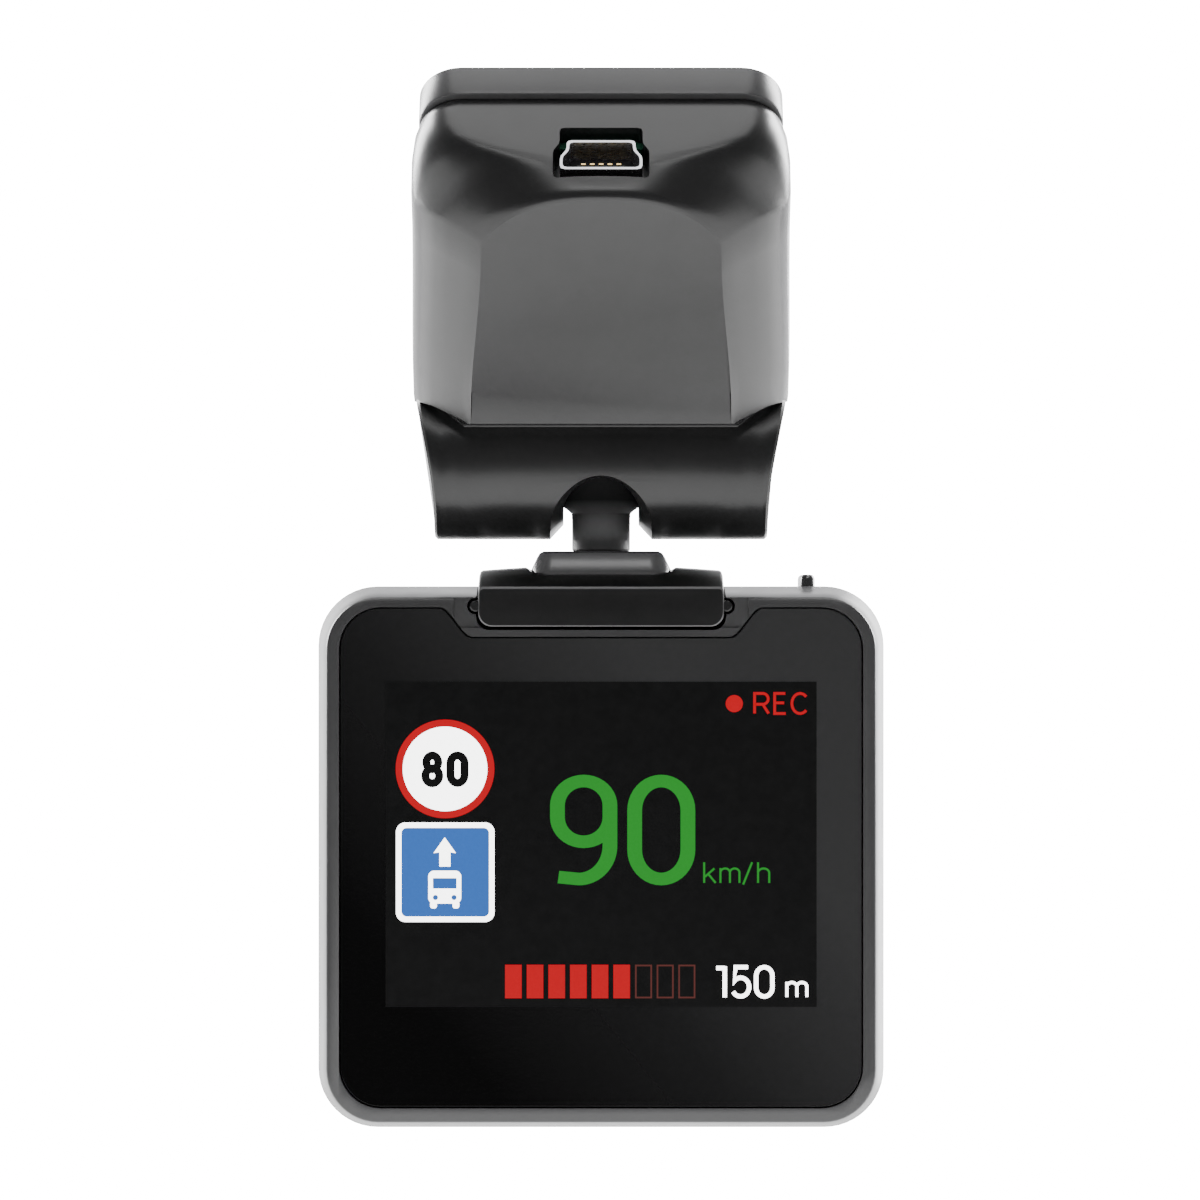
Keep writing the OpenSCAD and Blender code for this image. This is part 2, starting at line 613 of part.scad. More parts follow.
module key_outline(l, w) {
    square([l - w, w], center = true);
    for (x = [-1, 1]) translate([x * (l - w) / 2, 0]) circle(w / 2);
}

module side_button(z) color(charcoal) at_ball() translate([-body_w / 2, button_y, z]) rotate([0, 90, 0]) {
    layer(0.05, 2.6) key_outline(side_button_l, 2);
    layer(wall + 0.3, wall + 1.1) square([side_button_l + 1.4, 2.2], center = true);
}

module menu_button() side_button(side_buttons[0]);

module ok_button() side_button(side_buttons[1]);

module back_button() side_button(side_buttons[2]);

adhesive_pad();
mount_base();
mount_housing();
mount_circuit_board();
gps_antenna();
gps_receiver_can();
usb_socket_shell();
usb_socket_tongue();
usb_socket_contacts();
ball_retainer();
retainer_screws();
mount_screws();
mount_lead();
friction_cup();
ball_stem();
stem_lead();
swivel_foot();
stem_nut();
holder_clip();
clip_screws();
contact_block();
contact_pins();
screen_bezel();
cover_glass();
display_panel();
display_frame();
display_ribbon();
main_board();
processor_shield();
board_chips();
lens_case();
lens_barrel();
lens_glass();
lens_module();
sensor_board();
image_sensor();
battery();
speaker();
speaker_mesh();
microphone();
card_socket();
button_switches();
camera_contacts();
case_screws();
memory_card();
power_button();
menu_button();
ok_button();
back_button();
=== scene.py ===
import json
import math
import bmesh
import bpy
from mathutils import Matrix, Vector


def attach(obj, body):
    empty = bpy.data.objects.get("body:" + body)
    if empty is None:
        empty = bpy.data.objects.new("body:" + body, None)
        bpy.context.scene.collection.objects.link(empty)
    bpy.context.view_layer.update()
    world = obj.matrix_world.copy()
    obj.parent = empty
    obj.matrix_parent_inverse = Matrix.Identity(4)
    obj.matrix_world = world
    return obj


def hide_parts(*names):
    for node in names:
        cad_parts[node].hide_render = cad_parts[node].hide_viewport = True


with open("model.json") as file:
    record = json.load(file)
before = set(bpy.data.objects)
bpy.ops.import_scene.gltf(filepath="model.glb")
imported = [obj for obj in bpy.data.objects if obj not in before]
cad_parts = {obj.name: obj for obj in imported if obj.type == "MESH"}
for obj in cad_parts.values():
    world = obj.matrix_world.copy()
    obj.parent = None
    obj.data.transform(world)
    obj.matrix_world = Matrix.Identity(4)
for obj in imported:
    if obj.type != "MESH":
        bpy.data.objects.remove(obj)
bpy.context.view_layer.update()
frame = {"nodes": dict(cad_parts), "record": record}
MM = 0.001
TILT = math.radians(40)
COS, SIN = math.cos(TILT), math.sin(TILT)
BALL = Vector((0, 5.324, -19.48))          # the ball's centre, mm
BALL_V, BALL_W = -16.6, 11.5               # the same point along and out from the windscreen
USB_W = 10.7                               # the socket's middle, out from the windscreen

# Sizes in mm. Heights and depths are measured from the ball's centre.
PLATE_W, PLATE_L, PLATE_R = 33.4, 48.9, 4  # the base plate
PLATE_UP = 0.35                            # how far the plate's middle is up from the pad's
BARREL_R = 7.5
BALL_R = 6
CLIP_HALF, CLIP_FLOOR = 11.65, -16.25
RAIL_X, RAIL_Z = 11.9, -14.3               # the clip's two side rails
BODY_W, BODY_H, BODY_R = 54.2, 51.85, 5.7  # the camera body, seen by the driver
BODY_Z = -38.33                            # the body's middle
BODY_SIDE = 28                             # just clear of the body's side
BACK_Y = 11.5                              # the case's back
LENS_Z = -37
CASE_SCREWS = [(x, z) for x in (-22.6, 22.6) for z in (-17.6, -59.6)]
SIDE_KEYS = {"menu": -28, "ok": -37, "back": -46}
SIDE_KEY_Y = -1.2
POWER_X, POWER_Y = 19.87, 1.6
FLOOR_Z = -0.16                            # the studio floor's height, m


# ---- places ----

def on_mount(x, v, w):
    """x across, v up the windscreen, w from the pad's face into the cabin, in mm."""
    return Vector((x, -v * COS - w * SIN, v * SIN - w * COS)) * MM


def at_ball(x, y, z):
    return (Vector((x, y, z)) + BALL) * MM


# ---- materials ----

def material(name):
    m = bpy.data.materials.new(name)
    m.use_nodes = True
    m.node_tree.nodes.clear()
    out = m.node_tree.nodes.new("ShaderNodeOutputMaterial")
    bsdf = m.node_tree.nodes.new("ShaderNodeBsdfPrincipled")
    m.node_tree.links.new(bsdf.outputs[0], out.inputs[0])
    return m, m.node_tree, bsdf


def noise(tree, scale, detail=3.0, stretch=None):
    coord = tree.nodes.new("ShaderNodeTexCoord")
    tex = tree.nodes.new("ShaderNodeTexNoise")
    tex.inputs["Scale"].default_value = scale
    tex.inputs["Detail"].default_value = detail
    if stretch:
        mapping = tree.nodes.new("ShaderNodeMapping")
        mapping.inputs["Scale"].default_value = stretch
        tree.links.new(coord.outputs["Object"], mapping.inputs["Vector"])
        tree.links.new(mapping.outputs[0], tex.inputs["Vector"])
    else:
        tree.links.new(coord.outputs["Object"], tex.inputs["Vector"])
    return tex.outputs["Fac"]


def ramp(tree, source, stops):
    node = tree.nodes.new("ShaderNodeValToRGB")
    while len(node.color_ramp.elements) < len(stops):
        node.color_ramp.elements.new(0.5)
    for e, (at, colour) in zip(node.color_ramp.elements, stops):
        e.position = at
        e.color = (*colour, 1)
    tree.links.new(source, node.inputs[0])
    return node.outputs[0]


def spread(tree, source, low, high):
    node = tree.nodes.new("ShaderNodeMapRange")
    node.inputs["From Min"].default_value = 0.3
    node.inputs["From Max"].default_value = 0.7
    node.inputs["To Min"].default_value = low
    node.inputs["To Max"].default_value = high
    tree.links.new(source, node.inputs["Value"])
    return node.outputs[0]


def grain(tree, bsdf, height, strength, distance):
    bump = tree.nodes.new("ShaderNodeBump")
    bump.inputs["Strength"].default_value = strength
    bump.inputs["Distance"].default_value = distance
    tree.links.new(height, bump.inputs["Height"])
    tree.links.new(bump.outputs[0], bsdf.inputs["Normal"])


def surface(name, colour, rough, spec=0.5, metal=0.0, vary=0.12, patch=70, grit=2600, bump=0.0,
            depth=0.00002, coat=0.0, stretch=None):
    """A moulded or metal surface: mottled colour, uneven gloss and fine grain."""
    m, tree, bsdf = material(name)
    broad = noise(tree, patch, 1.5, stretch)
    dark = tuple(c * (1 - vary) for c in colour)
    light = tuple(min(1, c * (1 + vary)) for c in colour)
    tree.links.new(ramp(tree, broad, [(0.3, dark), (0.7, light)]), bsdf.inputs["Base Color"])
    fine = noise(tree, patch * 6, 1, stretch)
    tree.links.new(spread(tree, fine, rough * 0.95, rough * 1.06), bsdf.inputs["Roughness"])
    bsdf.inputs["Specular IOR Level"].default_value = spec
    bsdf.inputs["Metallic"].default_value = metal
    bsdf.inputs["Coat Weight"].default_value = coat
    if bump:
        grain(tree, bsdf, noise(tree, grit, 2, stretch), bump, depth)
    return m


def paint_shade_by_height(mat, z0, z1, left):
    """Paints shade on a surface: darkens its colour and shine from height z0 up to z1, where a fraction of
    them is left.
    """
    tree = mat.node_tree
    bsdf = tree.nodes["Principled BSDF"]
    coord, split = tree.nodes.new("ShaderNodeTexCoord"), tree.nodes.new("ShaderNodeSeparateXYZ")
    tree.links.new(coord.outputs["Object"], split.inputs[0])
    # painted shade: a factor that falls from 1 at z0 to the fraction left at z1
    shade_factor = tree.nodes.new("ShaderNodeMapRange")
    shade_factor.inputs["From Min"].default_value = z0
    shade_factor.inputs["From Max"].default_value = z1
    shade_factor.inputs["To Min"].default_value = 1
    shade_factor.inputs["To Max"].default_value = left
    tree.links.new(split.outputs[2], shade_factor.inputs["Value"])
    scale = tree.nodes.new("ShaderNodeVectorMath")
    scale.operation = "SCALE"
    tree.links.new(bsdf.inputs["Base Color"].links[0].from_socket, scale.inputs[0])
    tree.links.new(shade_factor.outputs[0], scale.inputs["Scale"])
    tree.links.new(scale.outputs[0], bsdf.inputs["Base Color"])
    shine = tree.nodes.new("ShaderNodeMath")
    shine.operation = "MULTIPLY"
    shine.inputs[1].default_value = bsdf.inputs["Specular IOR Level"].default_value
    tree.links.new(shade_factor.outputs[0], shine.inputs[0])
    tree.links.new(shine.outputs[0], bsdf.inputs["Specular IOR Level"])


def grey(v):
    return (v, v, v * 1.02)


shell = surface("shell_plastic", grey(0.012), 0.3, spec=0.58)
rim = surface("rim_plastic", grey(0.05), 0.33, spec=0.6)
bezel_mat = surface("bezel_plastic", grey(0.048), 0.3, spec=0.6)
case_mat = surface("case_plastic", grey(0.013), 0.42, spec=0.4)
clip_mat = surface("clip_plastic", grey(0.010), 0.34, spec=0.45)
# painted highlight: a much lighter grey for the clip's thin front chamfer, standing in for the light that edge
# catches
clip_edge_highlight = surface("clip_edge_painted_highlight", grey(0.12), 0.34, spec=0.6)
stem_mat = surface("stem_plastic_painted_shade", grey(0.15), 0.5, spec=0.3)
foot_mat = surface("foot_plastic", grey(0.13), 0.26, spec=0.7)
# painted shade: the stem and ball grow darker towards the top, into the groove, where they lie in shade
paint_shade_by_height(stem_mat, -0.0272, -0.0236, 0.06)
key_mat = surface("key_plastic", grey(0.05), 0.18, spec=0.9)
gloss_black = surface("gloss_black_plastic", grey(0.008), 0.16, spec=0.7, bump=0.03)
rubber = surface("foam_rubber", grey(0.02), 0.85, spec=0.2, vary=0.1, patch=400, bump=0.6, depth=0.0001)
steel = surface("brushed_steel", (0.62, 0.63, 0.65), 0.28, metal=1, vary=0.06, patch=300, stretch=(1, 8, 8))
gold = surface("gold_plating", (0.85, 0.6, 0.25), 0.25, metal=1, vary=0.08)
board = surface("circuit_board", (0.015, 0.12, 0.06), 0.4, vary=0.4, patch=260)
chip = surface("chip_epoxy", grey(0.02), 0.55, vary=0.2)
ceramic = surface("antenna_ceramic", (0.45, 0.36, 0.24), 0.6, vary=0.15)
nylon = surface("nylon_liner", (0.7, 0.67, 0.58), 0.45, vary=0.06)
ribbon = surface("ribbon_film", (0.5, 0.22, 0.03), 0.35, vary=0.2)
wire = surface("wire_sleeve", (0.25, 0.015, 0.012), 0.45, vary=0.15)
cell = surface("cell_wrap", (0.05, 0.15, 0.4), 0.35, vary=0.1)
cloth = surface("speaker_cloth", grey(0.015), 0.9, spec=0.2, vary=0.4, patch=900, bump=0.8, depth=0.0001)
BY_SLOT = {
    "foam": rubber, "graphite": shell, "charcoal": clip_mat, "gloss_black": gloss_black, "nylon": nylon,
    "display": gloss_black, "steel": steel, "gold": gold, "circuit_board": board, "chip": chip,
    "ceramic": ceramic, "ribbon": ribbon, "wire": wire, "cell_wrap": cell, "fabric": cloth,
}


def glass_material():
    """Black cover glass, with a painted reflection that makes it a little lighter towards its upper right."""
    m, tree, bsdf = material("cover_glass_painted_reflection")
    coord = tree.nodes.new("ShaderNodeTexCoord")
    mapping = tree.nodes.new("ShaderNodeMapping")
    mapping.inputs["Rotation"].default_value = (0, math.radians(38), 0)
    tree.links.new(coord.outputs["Generated"], mapping.inputs["Vector"])
    split = tree.nodes.new("ShaderNodeSeparateXYZ")
    tree.links.new(mapping.outputs[0], split.inputs[0])
    # painted reflection: the glass's colour rises from black at its lower left to grey at its upper right
    painted_reflection = ramp(tree, split.outputs[0], [(0.25, grey(0.0010)), (0.6, grey(0.010)), (1.0, grey(0.034))])
    tree.links.new(painted_reflection, bsdf.inputs["Base Color"])
    tree.links.new(spread(tree, noise(tree, 40), 0.04, 0.07), bsdf.inputs["Roughness"])
    bsdf.inputs["Specular IOR Level"].default_value = 0.28
    return m


def lit(name, colour, strength):
    """A lit part of the display: an even glow with a fine mottle."""
    m, tree, bsdf = material(name)
    bsdf.inputs["Roughness"].default_value = 0.5
    bsdf.inputs["Specular IOR Level"].default_value = 0.1
    glow = ramp(tree, noise(tree, 5200, 1), [(0.2, tuple(c * 0.93 for c in colour)), (0.8, colour)])
    tree.links.new(glow, bsdf.inputs["Emission Color"])
    bsdf.inputs["Emission Strength"].default_value = strength
    bsdf.inputs["Base Color"].default_value = (0.005, 0.005, 0.005, 1)
    return m


def screen_material():
    m, tree, bsdf = material("screen_off_black")
    mottle = ramp(tree, noise(tree, 900, 2), [(0.3, grey(0.004)), (0.7, grey(0.006))])
    tree.links.new(mottle, bsdf.inputs["Base Color"])
    bsdf.inputs["Roughness"].default_value = 0.45
    bsdf.inputs["Specular IOR Level"].default_value = 0.1
    return m


glass_mat = glass_material()
screen_mat = screen_material()
red = lit("display_red", (1.0, 0.0, 0.012), 0.72)
dim_red = lit("display_dim_red", (0.13, 0.03, 0.025), 1.0)
green = lit("display_green", (0.05, 1.0, 0.08), 0.34)
blue = lit("display_blue", (0.07, 0.28, 1.0), 0.66)
white = lit("display_white", (1.0, 1.0, 1.0), 6.0)
black_ink = surface("display_black", grey(0.004), 0.5, spec=0.1)


def lens_material():
    m, tree, bsdf = material("coated_lens_glass")
    weight = tree.nodes.new("ShaderNodeLayerWeight")
    weight.inputs["Blend"].default_value = 0.45
    sheen = [(0.0, (0.01, 0.015, 0.05)), (0.5, (0.03, 0.012, 0.06)), (1.0, (0.02, 0.05, 0.04))]
    tree.links.new(ramp(tree, weight.outputs["Facing"], sheen), bsdf.inputs["Base Color"])
    tree.links.new(spread(tree, noise(tree, 60), 0.02, 0.05), bsdf.inputs["Roughness"])
    bsdf.inputs["Specular IOR Level"].default_value = 0.8
    bsdf.inputs["Coat Weight"].default_value = 1.0
    return m


lens_mat = lens_material()


# ---- mesh helpers ----

def piece(name, points, faces, place, mat=None, body=None, slot=None, nodes=(), angle=35):
    mesh = bpy.data.meshes.new(name)
    mesh.from_pydata([place(*p) for p in points], [], faces)
    bm = bmesh.new()
    bm.from_mesh(mesh)
    bmesh.ops.remove_doubles(bm, verts=bm.verts, dist=1e-7)
    bmesh.ops.recalc_face_normals(bm, faces=bm.faces)
    bm.to_mesh(mesh)
    bm.free()
    obj = bpy.data.objects.new(name, mesh)
    bpy.context.scene.collection.objects.link(obj)
    if mat:
        mesh.materials.append(mat)
    if body:
        settle(obj, body, nodes, angle)
    return obj


def settle(obj, body, nodes=(), angle=35):
    """Shades a finished piece and makes it part of its body."""
    obj.data.shade_smooth()
    if angle:
        obj.data.set_sharp_from_angle(angle=math.radians(angle))
    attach(obj, body)
    if nodes:
        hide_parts(*nodes)


def loft(rings, closed=True, caps=True):
    """Points and faces through rings of equal length."""
    n = len(rings[0])
    points = [p for r in rings for p in r]
    faces = []
    for k in range(len(rings) - 1):
        for i in range(n if closed else n - 1):
            j = (i + 1) % n
            faces.append((k * n + i, k * n + j, (k + 1) * n + j, (k + 1) * n + i))
    if caps:
        faces.append(tuple(range(n))[::-1])
        faces.append(tuple((len(rings) - 1) * n + i for i in range(n)))
    return points, faces


def lathe(profile, steps=96):
    """Points and faces of a profile of (radius, height) turned about z. Ends on the axis may be open."""
    rings = [[(r * math.cos(2 * math.pi * i / steps), r * math.sin(2 * math.pi * i / steps), z)
              for i in range(steps)] for r, z in profile]
    return loft(rings, caps=False)


def rounded(w, h, r, cx=0.0, cz=0.0, n=10):
    """A rounded rectangle's outline."""
    out = []
    for k, (sx, sz) in enumerate([(1, 1), (-1, 1), (-1, -1), (1, -1)]):
        for i in range(n + 1):
            a = math.radians(90 * k + 90 * i / n)
            out.append((cx + sx * (w / 2 - r) + r * math.cos(a), cz + sz * (h / 2 - r) + r * math.sin(a)))
    return out


def box_outline(x0, x1, z0, z1):
    return [(x0, z0), (x1, z0), (x1, z1), (x0, z1)]


def slab(outline, y0, y1):
    """An outline in x and z, filled between two depths y."""
    return loft([[(x, y0, z) for x, z in outline], [(x, y1, z) for x, z in outline]])


def layer(outline, z0, z1):
    """An outline in x and y, filled between two heights z."""
    return loft([[(x, y, z0) for x, y in outline], [(x, y, z1) for x, y in outline]])


def circle(r, cx=0.0, cz=0.0, n=48):
    turns = [2 * math.pi * i / n for i in range(n)]
    return [(cx + r * math.cos(a), cz + r * math.sin(a)) for a in turns]


def cut(obj, *cutters, join=False):
    """Cuts the cutters out of a piece, or joins them to it, and applies the result."""
    for c in cutters:
        mod = obj.modifiers.new("cut", "BOOLEAN")
        mod.operation = "UNION" if join else "DIFFERENCE"
        mod.solver = "EXACT"
        mod.object = c
    bpy.context.view_layer.update()
    made = bpy.data.meshes.new_from_object(obj.evaluated_get(bpy.context.evaluated_depsgraph_get()))
    obj.modifiers.clear()
    old = obj.data
    obj.data = made
    bpy.data.meshes.remove(old)
    for c in cutters:
        bpy.data.objects.remove(c)
    return obj


def soften(obj, width, segments=2, angle=38):
    """Rounds the edges a mould would leave."""
    mod = obj.modifiers.new("edge", "BEVEL")
    mod.width = width * MM
    mod.segments = segments
    mod.limit_method = "ANGLE"
    mod.angle_limit = math.radians(angle)
    mod.harden_normals = True
    mod.miter_outer = "MITER_ARC"
    return obj


# ---- windscreen mount ----

def smooth(t):
    t = max(0.0, min(1.0, t))
    return t * t * (3 - 2 * t)


def between(table, at):
    """Reads a table of (position, value, value...) rows at one position."""
    for a, b in zip(table, table[1:]):
        if at <= b[0]:
            t = max(0.0, (at - a[0]) / (b[0] - a[0]))
            return [p + (q - p) * t for p, q in zip(a[1:], b[1:])]
    return list(table[-1][1:])


# The housing by depth from the windscreen. Each row holds: depth, half width low down, half width at the
# shoulder, the shoulder's place, the crest's place, then the top corner's width, its fullness and the slope
# that it starts with in degrees, and last the lower edge's place.
LEVELS = [
    (4.05, 16.6, 16.5, 20.05, 24.05, 4.0, 2.0, 0, -10.9),
    (4.2, 16.75, 16.65, 20.1, 24.1, 4.0, 2.0, 0, -10.9),
    (5.4, 17.4, 17.1, 19.5, 24.15, 4.1, 2.0, 0, -10.9),
    (7.0, 17.85, 17.35, 18.2, 24.15, 4.6, 2.15, 0, -10.9),
    (8.6, 18.0, 17.4, 16.8, 24.13, 5.6, 2.4, 6, -10.7),
    (10.0, 17.85, 17.05, 16.4, 24.08, 8.0, 2.7, 18, -10.2),
    (11.4, 17.1, 16.2, 16.8, 24.0, 12.0, 3.0, 32, -8.8),
    (12.6, 15.95, 15.1, 17.3, 23.9, 14.0, 2.8, 38, -7.95),
    (13.7, 14.75, 13.8, 17.5, 23.75, 13.6, 2.6, 38, -7.6),
    (14.6, 13.6, 12.5, 17.45, 23.52, 12.5, 2.5, 34, -7.4),
    (14.9, 13.2, 12.1, 17.4, 23.42, 12.1, 2.5, 33, -7.35),
    (15.15, 12.85, 11.7, 17.3, 23.3, 11.7, 2.5, 32, -7.3),
    (15.36, 12.6, 11.35, 17.2, 23.13, 11.35, 2.5, 30, -7.2),
    (15.5, 12.4, 11.1, 17.1, 22.98, 11.1, 2.5, 28, -7.05),
    (15.6, 12.3, 10.9, 17.0, 22.75, 10.9, 2.5, 26, -6.85),
]
STEEPEST = 38                              # the largest of the starting slopes
BEND = 0.6                                 # how far the steepest corner leans to a plain curve
LIP = 0.27                                 # how far the panel's foot stands out


def block_ring(w, inset=0.0):
    """The housing's outline at one depth, from the driver's right, over the top, to the left."""
    low_half, half, shoulder, crest, corner, full, start, v_low = between(LEVELS, w)
    half, low_half, crest, v_low = half - inset, low_half - inset, crest - inset, v_low + inset
    corner = min(corner, half)
    points = []
    for i in range(7):
        t = i / 6
        points.append((low_half + (half - low_half) * smooth(t), v_low + (shoulder - v_low) * t))
    first = math.radians(start)
    x_first, v_first = math.cos(first) ** (2 / full), math.sin(first) ** (2 / full)
    bent = min(1.0, start / STEEPEST) * BEND
    for i in range(1, 17):
        a = math.radians(start + (90 - start) * i / 16)
        x_part = max(0.0, math.cos(a)) ** (2 / full) / x_first
        v_part = (math.sin(a) ** (2 / full) - v_first) / (1 - v_first)
        v_part = v_part * (1 - bent) + (1 - x_part ** 2.6) * bent
        points.append((half - corner * (1 - x_part), shoulder + (crest - shoulder) * v_part))
    for i in range(1, 5):
        points.append(((half - corner) * (1 - i / 4), crest + 1e-5 * i))
    return points + [(-x, v) for x, v in points[-2::-1]]


def block():
    """The housing, with a low lip along the foot of its panel."""
    rings = []
    for w in [lv[0] for lv in LEVELS]:
        ring = [(x, v, w) for x, v in block_ring(w)]
        lift = LIP * smooth((w - 14.9) / 0.7)
        for k in (0, -1):
            ring[k] = (ring[k][0], ring[k][1], w + lift)
        rings.append(ring)
    top = LEVELS[-1][0]
    ring = [(x, v, top) for x, v in block_ring(top, 0.12)]
    for k in (0, -1):
        ring[k] = (ring[k][0], ring[k][1] + 1.3, top)
    rings.append(ring)
    return loft(rings)


def end_half(z):
    """How far the barrel's ends stand from the middle, by height from the ball."""
    ends = [(-8, 16.0), (-4.8, 15.95), (-2.2, 16.2), (1.05, 16.75), (3.5, 17.25), (5.5, 17.65), (9, 17.8)]
    return between(ends, z)[0]


def barrel():
    """The rounded bar under the housing, lofted end to end, with its concave sweep up to the housing."""
    stations = [(-1, None), (-1, None), (-0.985, None)]
    stations += [(0, x) for x in (-15.3, -14.2, -13.0, -9.0, 0.0, 9.0, 13.0, 14.2, 15.3)]
    stations += [(0.985, None), (1, None), (1, None)]
    rings = []
    for k, (f, x_at) in enumerate(stations):
        t = 1.0 if x_at is None else max(0.0, (abs(x_at) - 13) / 4.4)
        edge = Vector((-9.36 + 4.7 * t, 3.15 + 2.85 * t))
        e0 = math.radians(20 + 32 * t)
        start = Vector((-BARREL_R * math.cos(e0), BARREL_R * math.sin(e0)))
        up = Vector((math.sin(e0), math.cos(e0))) * (0.55 * (1 - t) + 0.02)
        outline = []
        for i in range(9):
            q = i / 8
            a, b, c, d = (1 - q) ** 3, 3 * (1 - q) ** 2 * q, 3 * (1 - q) * q * q, q ** 3
            p = a * edge + b * (edge + Vector((1.5, 0.0)) * (1 - t)) + c * (start + up) + d * start
            outline.append((p.x, p.y))
        for i in range(1, 45):
            e = e0 + (math.radians(-214) - e0) * i / 44
            outline.append((-BARREL_R * math.cos(e), BARREL_R * math.sin(e)))
        y, z = outline[-1]
        outline += [(y - 6.5 * COS, z + 6.5 * SIN), (outline[0][0] + 1.2, outline[0][1] + 1.6)]
        end = k in (0, 1, len(stations) - 1, len(stations) - 2)
        shrink = (0.93 if k in (0, len(stations) - 1) else 0.972) if end else 1.0
        ring = []
        for y, z in outline:
            half = end_half(z)
            x = x_at if x_at is not None else f * half
            ring.append((x, y * shrink, z * shrink * (1.05 if z < 0 else 1.0)))
        rings.append(ring)
    return loft(rings)


def turned_x(points, degrees):
    """Turns points about x, from +w towards -v in the mount's frame."""
    a = math.radians(degrees)
    return [(x, v * math.cos(a) - w * math.sin(a), v * math.sin(a) + w * math.cos(a)) for x, v, w in points]


def at_barrel(x, v, w):
    return on_mount(x, v + BALL_V, w + BALL_W)


def stem_groove():
    """The flared groove, from its round upper end round to the windscreen side, as one closed cutter."""
    rings = []
    for reach, half in ((3.2, 3.2), (5.0, 3.62), (6.5, 3.62), (7.7, 4.75), (9.4, 6.0)):
        ring = []
        for i in range(25):
            a = math.radians(90 - 180 * i / 24)
            swing = math.degrees(math.asin(min(0.98, half * math.cos(a) / reach)))
            ring.append((half * math.sin(a), 2.0 - swing))
        ring += [(-half, swing) for swing in range(14, 122, 12)]
        ring += [(half, swing) for swing in range(110, 2, -12)]
        rings.append([turned_x([(x, 0, reach)], swing)[0] for x, swing in ring])
    points, faces = loft(rings, caps=False)
    n = len(rings[0])
    for base in (0, n * (len(rings) - 1)):
        for k in range(21):
            pairs = [(12 - k) % n, (12 + k) % n, (13 + k) % n, (11 - k) % n]
            faces.append(tuple(base + i for i in (pairs[1:] if k == 0 else pairs)))
    return points, faces


def usb_outline(grow_x, grow_h, soften_by=0.0):
    """The mini socket's outline, grown across and in height; its corners may be rounded."""
    wide, narrow = 3.85 + grow_x, 3.25 + grow_x
    right = [(wide, 1.95 + grow_h), (wide, 0.1 - grow_h * 0.3), (narrow, -0.6 - grow_h * 0.3),
             (narrow, -1.95 - grow_h)]
    outline = right + [(-x, w) for x, w in right[::-1]]
    if not soften_by:
        return outline
    out = []
    for i, p in enumerate(outline):
        a, b = Vector(outline[i - 1]), Vector(outline[(i + 1) % len(outline)])
        p = Vector(p)
        for t in (0, 0.5, 1):
            s = p + (a - p).normalized() * soften_by
            e = p + (b - p).normalized() * soften_by
            out.append(tuple(((1 - t) ** 2) * s + 2 * t * (1 - t) * p + t * t * e))
    return out


def ball_shape(r):
    return lathe([(0, -r)] + [(r * math.cos(math.radians(a)), r * math.sin(math.radians(a)))
                              for a in range(-84, 85, 6)] + [(0, r)], 48)


def usb_prism(name, v0, v1, grow_x, grow_h, mat=None, round_by=0.3):
    pts, faces = slab(usb_outline(grow_x, grow_h, round_by), v0, v1)
    return piece(name, pts, faces, lambda x, v, w: on_mount(x, v, w + USB_W), mat)


def build_mount():
    rim_rings = []
    for w, inset in ((0.5, 0.12), (0.62, 0.0), (3.72, 0.0), (3.92, 0.1), (3.98, 0.35)):
        outline = rounded(PLATE_W - 2 * inset, PLATE_L - 2 * inset, PLATE_R - inset)
        rim_rings.append([(x, v + PLATE_UP, w) for x, v in outline])
    piece("base_plate", *loft(rim_rings), on_mount, rim, "mount", "graphite", ("mount_base",), 40)
    housing = piece("housing_shell", *block(), on_mount, shell)
    cut(housing, usb_prism("usb_cut", 21.4, 26, 0.5, 0.95, round_by=0.45))
    settle(housing, "mount", ("mount_housing",), 26)
    bar = piece("housing_barrel", *barrel(), at_ball, shell)
    cut(bar, piece("groove_cut", *stem_groove(), at_barrel),
        piece("ball_cut", *ball_shape(6.25), at_ball))
    settle(bar, "mount", (), 30)
    outer, inner = usb_outline(-0.12, -0.1, 0.45), usb_outline(-0.4, -0.38, 0.4)
    rings = [[(x, v, w) for x, w in outer] for v in (15.0, 23.5)]
    rings.append([(x * 0.995, 23.6, w * 0.995) for x, w in outer])
    rings.append([(x * 1.01, 23.6, w * 1.01) for x, w in inner])
    rings += [[(x, v, w) for x, w in inner] for v in (23.5, 15.2)]
    piece("usb_shell", *loft(rings), lambda x, v, w: on_mount(x, v, w + USB_W), steel, "mount", "steel",
          ("usb_socket_shell",), 40)


# ---- ball, foot and clip ----

def build_ball():
    angles = [math.radians(a) for a in range(78, -61, -4)]
    ball = [(1.1, 5.4), (1.1, 5.898)] + [(BALL_R * math.cos(a), BALL_R * math.sin(a)) for a in angles]
    neck = [(2.85, -5.4), (2.82, -6.0), (2.8, -8.85), (2.7, -9.0), (2.05, -9.0), (2.0, -9.1), (2.0, -13.5),
            (1.1, -13.5), (1.1, 5.4)]
    piece("ball_and_stem", *lathe(ball + neck), at_ball, stem_mat, "ball", "charcoal", ("ball_stem",), 32)


def build_foot():
    rings = []
    levels = [(-12.4, 5.4, 1.8), (-11.75, 5.5, 1.8), (-11.62, 5.95, 1.9), (-11.58, 6.4, 2.0),
              (-11.42, 6.6, 2.05), (-11.12, 6.7, 2.1), (-10.8, 6.66, 2.1), (-9.6, 6.1, 1.6),
              (-9.25, 5.88, 1.4), (-9.06, 5.5, 1.1)]
    for z, half, r in levels:
        rings.append([(x, y, z) for x, y in rounded(2 * half, 2 * half, r, n=8)])
    piece("swivel_foot_cap", *loft(rings), at_ball, foot_mat, "holder", "graphite", ("swivel_foot",), 30)


